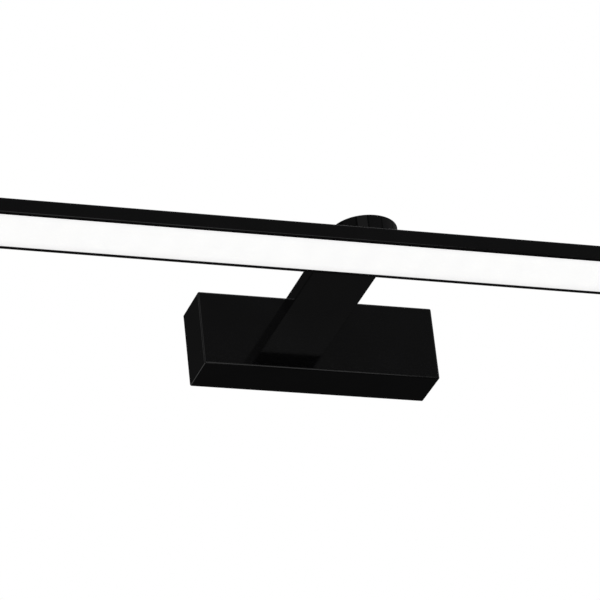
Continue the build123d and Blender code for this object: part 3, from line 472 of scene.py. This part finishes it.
def opal_acrylic():
    """Opal acrylic lit from behind: even in the middle, weaker by the lips, with a trace of the LEDs."""
    s = Surface("opal_lit", Subsurface_Weight=0.25, Subsurface_Scale=0.002, Subsurface_Radius=(1, 1, 1))
    s.colour(s.noise(80.0), (0.80, 0.80, 0.79), (0.84, 0.84, 0.83))
    s.value("Roughness", s.noise(1200.0, 4.0), 0.34, 0.46)
    axes = s.node("ShaderNodeSeparateXYZ", Vector=s.place)
    across = s.maths("ABSOLUTE", s.maths("SUBTRACT", axes.outputs[1], pivot.y))
    edge = s.mapped(across, 1.0, 0.96, 0.0105, 0.0148)
    wall_side = s.mapped(axes.outputs[1], 1.0, 0.93, pivot.y + 0.009, pivot.y + 0.0148)
    along = s.maths("ADD", axes.outputs[0], LED_PITCH / 2)
    led = s.maths("COSINE", s.maths("MULTIPLY", along, 2 * math.pi / LED_PITCH))
    glow = s.maths("MULTIPLY", s.maths("MULTIPLY", edge, wall_side), s.mapped(led, 0.988, 1.0, -1.0, 1.0))
    s.set("Emission Strength", s.maths("MULTIPLY", glow, 0.80))
    s.shader.inputs["Emission Color"].default_value = (1.0, 1.0, 1.0, 1)
    s.relief(s.noise(2500.0, 4.0), 6.0e-6)
    return s.material


FINISHES = {
    "gloss_black_paint": gloss_black_paint,
    "black_screw": black_screw,
    "galvanised_steel": galvanised_steel,
    "black_rubber": black_rubber,
    "terminal_polyamide": terminal_polyamide,
    "brass": brass,
    "plated_steel": plated_steel,
    "tinned_copper": tinned_copper,
    "earth_insulation": earth_insulation,
    "live_insulation": lambda: insulation("insulation_brown", (0.10, 0.035, 0.013), (0.14, 0.05, 0.02)),
    "neutral_insulation": lambda: insulation("insulation_blue", (0.015, 0.09, 0.34), (0.025, 0.12, 0.42)),
    "positive_insulation": lambda: insulation("insulation_red", (0.36, 0.012, 0.010), (0.46, 0.020, 0.016)),
    "negative_insulation": lambda: insulation("insulation_black", (0.010, 0.010, 0.011),
                                              (0.020, 0.020, 0.021)),
    "foam": foam,
    "driver_polycarbonate": driver_polycarbonate,
    "circuit_board": circuit_board,
    "ferrite": ferrite,
    "copper_wire": copper_wire,
    "capacitor_sleeve": capacitor_sleeve,
    "choke_sleeve": choke_sleeve,
    "fuse_body": fuse_body,
    "white_nylon": white_nylon,
    "spring_steel": spring_steel,
    "turned_steel": turned_steel,
    "opal_acrylic": opal_acrylic,
    "heat_tape": heat_tape,
    "white_board": white_board,
    "led_phosphor": led_phosphor,
    "solder": solder,
}


# Pieces


def piece(bm, stands_for):
    """A mesh in millimetres as a piece that stands for a CAD node, with its body and its finish."""
    name = stands_for + "_finished"
    bmesh.ops.scale(bm, vec=(MM, MM, MM), verts=bm.verts)
    bmesh.ops.recalc_face_normals(bm, faces=bm.faces)
    mesh = bpy.data.meshes.new(name)
    bm.to_mesh(mesh)
    bm.free()
    mesh.shade_smooth()
    mesh.set_sharp_from_angle(angle=CREASE)
    made = bpy.data.objects.new(name, mesh)
    scene.collection.objects.link(made)
    weighted = made.modifiers.new("normals", "WEIGHTED_NORMAL")
    weighted.keep_sharp = True
    mesh.materials.append(finishes[slot_of[stands_for]])
    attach(made, nodes[stands_for]["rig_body"])
    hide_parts(stands_for)


CREASE = math.radians(40)  # an edge of a finished piece that turns more than this is shaded as sharp

# How far the sharp edges of each CAD solid are rounded, in millimetres, and in how many steps
ROUNDED = {
    "backplate_cover": (0.25, 3),
    "wall_bracket": (0.15, 3),
    "cable_grommet": (0.45, 4),
    "arm_lid": (0.12, 3),
    "arm_backing_plate": (0.2, 2),
    "arm_grommet": (0.2, 3),
    "diffuser": (0.2, 3),
    "end_cap_left": (0.12, 2),
    "end_cap_right": (0.12, 2),
    "terminal_block": (0.1, 2),
    "terminal_inserts": (0.12, 2),
    "earth_nut": (0.3, 3),
    "earth_washer": (0.1, 2),
    "driver_case": (0.25, 3),
    "driver_lid": (0.2, 3),
    "driver_board": (0.1, 2),
    "driver_board_feet": (0.15, 2),
    "driver_pad": (0.2, 2),
    "driver_transformer": (0.25, 3),
    "friction_washer": (0.12, 2),
    "thrust_washer": (0.1, 2),
    "pivot_nut": (0.3, 3),
    "stop_pin": (0.2, 3),
    "led_board": (0.08, 2),
    "solder_joints": (0.3, 4),
    "earth_stud": (0.25, 3),
    "pivot_stud": (0.2, 3),
    "disc_spring": (0.1, 2),
    "driver_winding": (0.3, 3),
}
BEND = math.radians(35)  # a CAD edge that turns more than this is rounded
FLAT = math.radians(0.5)  # faces that turn less than this are one face
WELD = 0.001  # vertices nearer than this, in millimetres, are one vertex


def rounded(part, width, steps):
    """A CAD solid as a clean mesh in millimetres, with its sharp edges rounded."""
    bm = bmesh.new()
    bm.from_mesh(nodes[part].data)
    bmesh.ops.scale(bm, vec=(1 / MM, 1 / MM, 1 / MM), verts=bm.verts)
    bmesh.ops.remove_doubles(bm, verts=bm.verts, dist=WELD)
    bmesh.ops.dissolve_limit(bm, angle_limit=FLAT, verts=bm.verts, edges=bm.edges)
    sharp = [edge for edge in bm.edges if edge.is_manifold and edge.calc_face_angle(0.0) > BEND]
    bmesh.ops.bevel(bm, geom=sharp, offset=width, segments=steps, profile=0.5, affect="EDGES",
                    clamp_overlap=False, loop_slide=False)
    return bm


def led_packages():
    """LED packages with rounded edges, each with a shallow well of phosphor in the face below."""
    rim, wall, depth, least_area = 0.3, 0.08, 0.12, 4.0
    bm = rounded("led_chips", 0.1, 2)
    faces = [face for face in bm.faces if face.normal.z < -0.99 and face.calc_area() > least_area]
    bmesh.ops.inset_individual(bm, faces=faces, thickness=rim)
    bmesh.ops.inset_individual(bm, faces=faces, thickness=wall, depth=-depth)
    piece(bm, "led_chips")


def turned(bm, profile, turn, steps=48):
    """Adds a turned solid: rings of (radius, height), where a radius may depend on angle and height."""
    rings = []
    for radius, height in profile:
        ring = []
        for step in range(steps):
            angle = 2 * math.pi * step / steps
            reach = radius(angle, height) if callable(radius) else radius
            point = Vector((reach * math.cos(angle), reach * math.sin(angle), height))
            ring.append(bm.verts.new(turn @ point))
        rings.append(ring)
    for low, high in zip(rings, rings[1:]):
        for step in range(steps):
            bm.faces.new((low[step - 1], low[step], high[step], high[step - 1]))
    bm.faces.new(rings[0])
    bm.faces.new(rings[-1])


def hexagon(apothem):
    """The radius of a hexagon at each angle."""
    return lambda angle, _: apothem / math.cos((angle % (math.pi / 3)) - math.pi / 6)


def slot(length, width):
    """The radius of a straight slot at each angle, from half its length and half its width."""
    def radius(angle, _):
        across, along = abs(math.sin(angle)), abs(math.cos(angle))
        return min(length / max(along, 0.01), width / max(across, 0.01), length)
    return radius


def thread(radius, pitch, depth):
    """The radius of a screw thread at each angle and height."""
    def helix(angle, height):
        phase = (height / pitch + angle / (2 * math.pi)) % 1.0
        return radius - depth * min(1.0, max(0.0, 2.6 * abs(phase - 0.5) - 0.15))
    return helix


def thread_rings(radius, top, tip):
    """The rings of a threaded shank, from under the head to its chamfered tip."""
    pitch, depth = 0.36 * radius, 0.2 * radius
    core = radius - depth
    rows = int((top - tip - pitch) / pitch * 6)
    helix = thread(radius, pitch, depth)
    rings = [(core, top), (core, top - 0.3 * pitch)]
    rings += [(helix, top - 0.35 * pitch - row * pitch / 6) for row in range(rows)]
    return rings + [(core, tip + 0.35 * pitch), (core * 0.8, tip)]


def pan_head(shank, head, height):
    """A rounded head with a hexagon socket, its top at height 0."""
    socket, depth, round_over = 0.42 * head, 0.5 * height, 0.55 * height
    rings = [(hexagon(0.8 * socket), -depth), (hexagon(socket), -depth + 0.12), (hexagon(socket), -0.14)]
    rings += [(1.28 * socket, -0.02), (1.36 * socket, 0.0)]
    for step in range(7):
        angle = math.pi / 2 * step / 6
        rings.append((head * (0.66 + 0.34 * math.sin(angle)), -round_over * (1 - math.cos(angle))))
    return rings + [(head, -height + 0.1), (head - 0.1, -height), (shank, -height)]


def flat_head(shank, head, height):
    """A countersunk head with a slot, its top at height 0."""
    length, width, depth = 0.66 * head, 0.16 * head, 0.4 * height
    rings = [(slot(length, 0.8 * width), -depth), (slot(length, width), -depth + 0.06)]
    rings += [(slot(length, width), -0.05), (slot(length + 0.05, width + 0.05), 0.0)]
    return rings + [(0.96 * head, 0.0), (head, -0.06), (head, -0.12), (shank, -height)]


def cheese_head(shank, head, height):
    """A straight-sided head with a slot, its top at height 0."""
    rings = flat_head(shank, head, height)[:4]
    rings += [(head - 0.2, 0.0), (head - 0.06, -0.06), (head, -0.2)]
    return rings + [(head, -height + 0.05), (shank, -height)]


def screw(make_head, shank, height):
    """Makes the rings of a whole screw from its head's radius and its length."""
    return lambda head, length: make_head(shank, head, height) + thread_rings(shank, -height - 0.02, -length)


def capacitor(radius, length):
    """An aluminium can in its sleeve: a sunken top inside the rim, and a groove near its foot."""
    foot = -length
    rings = [(0.74 * radius, -0.3), (0.77 * radius, -0.08), (0.82 * radius, 0.0), (0.9 * radius, 0.0)]
    rings += [(0.97 * radius, -0.15), (radius, -0.45), (radius, foot + 2.2), (0.94 * radius, foot + 1.8)]
    rings += [(0.94 * radius, foot + 1.5), (radius, foot + 1.1)]
    return rings + [(radius, foot + 0.3), (0.93 * radius, foot)]


def choke(radius, length):
    """A drum choke: two flanges, and turns of wire that show through the sleeve between them."""
    sheet, turns, waist = 1.4, 9, 0.72 * radius
    top = [(0.3 * radius, -0.4), (0.34 * radius, -0.1), (0.4 * radius, 0.0), (0.92 * radius, 0.0)]
    top += [(radius, -0.3), (radius, 0.2 - sheet), (0.96 * radius, -sheet)]
    foot = [(0.96 * radius, sheet - length), (radius, sheet - 0.2 - length), (radius, 0.3 - length)]
    pitch = (length - 2 * sheet) / turns
    wound = []
    for step in range(1, 6 * turns):
        bulge = 0.14 * abs(math.sin(math.pi * step / 6))
        wound.append((waist + bulge, -sheet - step * pitch / 6))
    return top + wound + foot + [(0.92 * radius, -length)]


def fuse(radius, length):
    """A cartridge fuse: a tube between two pressed end caps."""
    half = [(0.8 * radius, 0.0), (0.94 * radius, -0.08), (radius, -0.3)]
    half += [(radius, -2.0), (0.93 * radius, -2.08)]
    return half + [(reach, -length - height) for reach, height in reversed(half)]


def solids(part):
    """The lowest and highest corners, in millimetres, of each separate solid in a CAD node."""
    bm = bmesh.new()
    bm.from_mesh(nodes[part].data)
    bmesh.ops.remove_doubles(bm, verts=bm.verts, dist=WELD * MM)
    left = set(bm.verts)
    boxes = []
    while left:
        reached = [left.pop()]
        for vert in reached:
            for edge in vert.link_edges:
                other = edge.other_vert(vert)
                if other in left:
                    left.remove(other)
                    reached.append(other)
        columns = list(zip(*(vert.co / MM for vert in reached)))
        boxes.append((tuple(map(min, columns)), tuple(map(max, columns))))
    bm.free()
    return sorted(boxes)


UP, FRONT, BACK, OUTWARDS = (0, 0, 1), (0, -1, 0), (0, 1, 0), (1, 0, 0)
FIRST_SPIN, NEXT_SPIN = 25, 70  # how far, in degrees, each turned solid is turned about its axis
# What is turned, and the way that its top faces: OUTWARDS is away from the middle along X.
# A screw's numbers are its shank's radius and its head's height, in millimetres
TURNED = {
    "cover_screws": (screw(pan_head, 1.5, 1.7), UP),
    "arm_lid_screws": (screw(flat_head, 1.0, 1.0), UP),
    "end_cap_screws": (screw(flat_head, 0.83, 0.9), OUTWARDS),
    "arm_root_screws": (screw(pan_head, 1.5, 1.7), BACK),
    "terminal_fixing_screw": (screw(pan_head, 1.5, 1.7), FRONT),
    "terminal_screws": (screw(cheese_head, 1.25, 1.5), FRONT),
    "driver_capacitors": (capacitor, OUTWARDS),
    "driver_choke": (choke, BACK),
    "driver_fuse": (fuse, OUTWARDS),
}


def turned_copy(part, make_rings, way):
    """A CAD node's round solids, turned again with their real detail, each in its solid's own box."""
    axis = max(range(3), key=lambda number: abs(way[number]))
    bm = bmesh.new()
    for number, (low, high) in enumerate(solids(part)):
        middle = Vector((a + b) / 2 for a, b in zip(low, high))
        facing = -Vector(way) if way == OUTWARDS and middle.x < 0 else Vector(way)
        sizes = [b - a for a, b in zip(low, high)]
        length = sizes.pop(axis)
        middle[axis] += facing[axis] * length / 2
        turn = facing.to_track_quat("Z", "Y").to_matrix().to_4x4()
        spin = Matrix.Rotation(math.radians(FIRST_SPIN + NEXT_SPIN * number), 4, "Z")
        turned(bm, make_rings(min(sizes) / 2, length), Matrix.Translation(middle) @ turn @ spin)
    piece(bm, part)


make_camera()
make_surround()
make_floor()
# Name, place, size and radiance of each light
LIGHTS = (
    ("front", (1.24, -3.10, 1.80), 2.6, 0.065),
    ("front_left", (-1.05, -2.75, 1.60), 1.7, 0.18),
    ("front_level", (0.0, -3.3, -0.1), 1.0, 0.5),
    ("left_high", (-2.70, -1.20, 1.60), 2.4, 0.06),
    ("right_high", (2.75, -1.00, 1.60), 2.4, 0.09),
    ("right_back", (2.85, 1.20, 1.60), 1.8, 0.07),
    ("low_front", (0.25, -2.85, -1.65), 2.0, 1.05),
    ("low_front_left", (-2.0, -2.22, -1.4), 1.6, 0.6),
    ("low_front_right", (2.0, -2.22, -1.4), 1.6, 0.6),
    ("low_back_left", (-1.90, 2.35, -1.45), 2.0, 0.6),
    ("low_back_right", (2.25, 2.1, -1.25), 1.5, 0.6),
    ("top", (-0.2, 0.2, 3.3), 2.4, 1.5),
    ("top_front_left", (-1.22, -1.74, 2.53), 1.7, 0.7),
    ("top_front_right", (1.22, -1.74, 2.53), 1.7, 0.7),
    ("top_back_left", (-1.22, 1.74, 2.53), 1.7, 0.7),
    ("top_back_right", (1.22, 1.74, 2.53), 1.7, 0.7),
    ("bottom", (0.0, -0.3, -2.6), 1.6, 0.5),
    ("back_level", (0.0, 3.3, -0.1), 1.0, 0.5),
    ("left", (-3.2, -0.3, -0.1), 1.5, 0.5),
    ("right", (3.2, -0.3, -0.1), 1.5, 0.5),
)
# More lights, which spare the arm because they would flare on its round end
CORNER_LIGHTS = (
    ("back_left", (-2.17, 2.10, 1.34), 1.5, 0.45),
    ("back_right", (2.17, 2.10, 1.34), 1.5, 0.45),
    ("high_left", (-2.17, -2.10, 1.20), 1.5, 0.45),
    ("high_right", (2.17, -2.10, 1.20), 1.5, 0.45),
)
for light in LIGHTS:
    softbox(*light)
spared = bpy.data.collections.new("spared")
spared.objects.link(nodes["arm_body"])
spared.collection_objects[0].light_linking.link_state = "EXCLUDE"
for light in CORNER_LIGHTS:
    softbox(*light).light_linking.receiver_collection = spared

finishes = {slot: make() for slot, make in FINISHES.items()}
for part, node in nodes.items():
    for place in node.material_slots:
        place.material = finishes[slot_of[part]]

for part, (width, steps) in ROUNDED.items():
    piece(rounded(part, width, steps), part)
for part, (make_rings, way) in TURNED.items():
    turned_copy(part, make_rings, way)
led_packages()

scene.view_settings.view_transform = "Standard"
